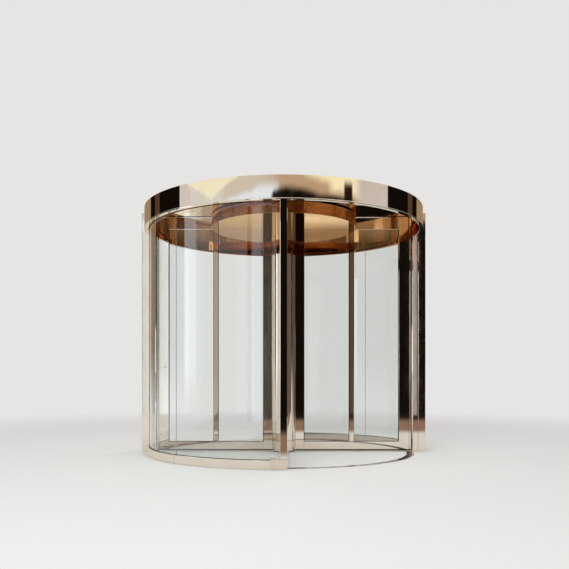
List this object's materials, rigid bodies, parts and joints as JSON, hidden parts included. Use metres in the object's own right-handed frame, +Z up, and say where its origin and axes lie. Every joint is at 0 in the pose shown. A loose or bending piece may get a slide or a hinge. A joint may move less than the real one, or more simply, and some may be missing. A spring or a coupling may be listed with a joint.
{
  "type": "revolving door",
  "caption": "Revolving door: framed glass wings and a disc on a centre column turn in a round drum with curved glass walls, posts and a deep mirror-metal fascia ring.",
  "frame": {"origin": "on the floor at the axis that the wings turn about, in the middle of the part's base", "axes": "+Z up, X along the facade with +X to the right as seen from outside, -Y towards the outside"},
  "size_m": [3.71, 3.5996, 3.12],
  "materials": {
    "polished_metal": "mirror polished champagne stainless steel",
    "bright_metal": "satin stainless steel",
    "wall_glass": "clear curved laminated glass",
    "wing_glass": "clear flat safety glass",
    "brush": "black nylon brush seal",
    "roof_sheet": "dark grey coated dust cover"
  },
  "bodies": {
    "drum": {"fascia_front": "polished_metal", "fascia_back": "polished_metal", "ceiling": "polished_metal", "front_base_rail": "polished_metal", "back_base_rail": "polished_metal", "front_head_channel": "polished_metal", "back_head_channel": "polished_metal", "front_post": "polished_metal", "back_post": "polished_metal", "left_post": "polished_metal", "right_post": "polished_metal", "left_jamb": "polished_metal", "right_jamb": "polished_metal", "top_bearing": "bright_metal", "front_foot": "bright_metal", "back_foot": "bright_metal", "floor_ring": "bright_metal", "floor_bearing": "bright_metal", "front_wall_pane_left": "wall_glass", "front_wall_pane_right": "wall_glass", "back_wall_pane_left": "wall_glass", "back_wall_pane_right": "wall_glass", "roof_cover": "roof_sheet"},
    "rotor": {"column": "polished_metal", "disc_rim": "polished_metal", "disc_soffit": "polished_metal", "drive_hub": "polished_metal", "front_wing_stiles": "polished_metal", "front_wing_rails": "polished_metal", "back_wing_stiles": "polished_metal", "back_wing_rails": "polished_metal", "left_wing_stiles": "polished_metal", "left_wing_rails": "polished_metal", "right_wing_stiles": "polished_metal", "right_wing_rails": "polished_metal", "front_wing_glass": "wing_glass", "back_wing_glass": "wing_glass", "left_wing_glass": "wing_glass", "right_wing_glass": "wing_glass", "front_wing_brushes": "brush", "back_wing_brushes": "brush", "left_wing_brushes": "brush", "right_wing_brushes": "brush", "wing_lock": "bright_metal"}
  },
  "joints": [
    {"name": "rotor_spin", "type": "hinge", "parent": "drum", "child": "rotor", "pos_m": [0, 0, 0], "axis": [0, 0, 1], "continuous": true}
  ]
}
